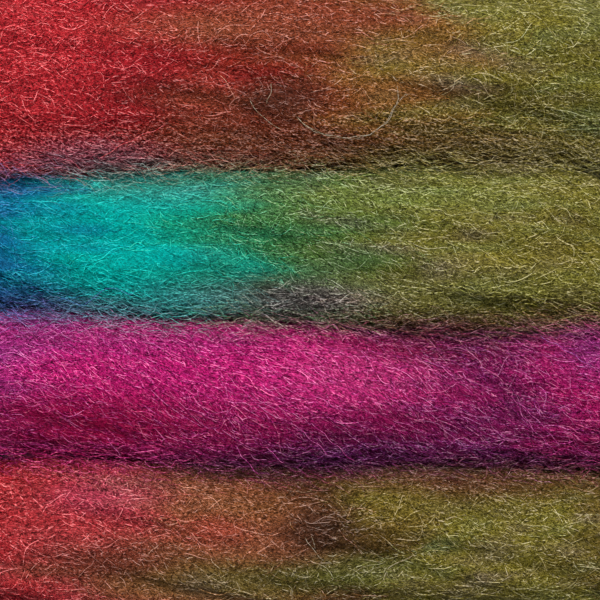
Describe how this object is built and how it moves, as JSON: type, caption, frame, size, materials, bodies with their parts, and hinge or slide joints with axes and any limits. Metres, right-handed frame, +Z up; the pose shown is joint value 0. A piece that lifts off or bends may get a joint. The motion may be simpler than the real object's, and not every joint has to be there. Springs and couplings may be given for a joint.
{
  "type": "wool roving",
  "caption": "Cut length of soft hand-dyed wool roving, laid back and forth in side-by-side runs with drawn-off ends, its colours shifting along the length.",
  "frame": {"origin": "on the surface that the roving lies on, under the middle of the whole lay", "axes": "+X along the runs of the lay, away from the drawn-off ends, +Y across the lay and +Z up"},
  "size_m": [0.1834, 0.1028, 0.0227],
  "materials": {
    "dyed_wool": "matte"
  },
  "bodies": {
    "root": {"roving": "dyed_wool"}
  },
  "joints": []
}
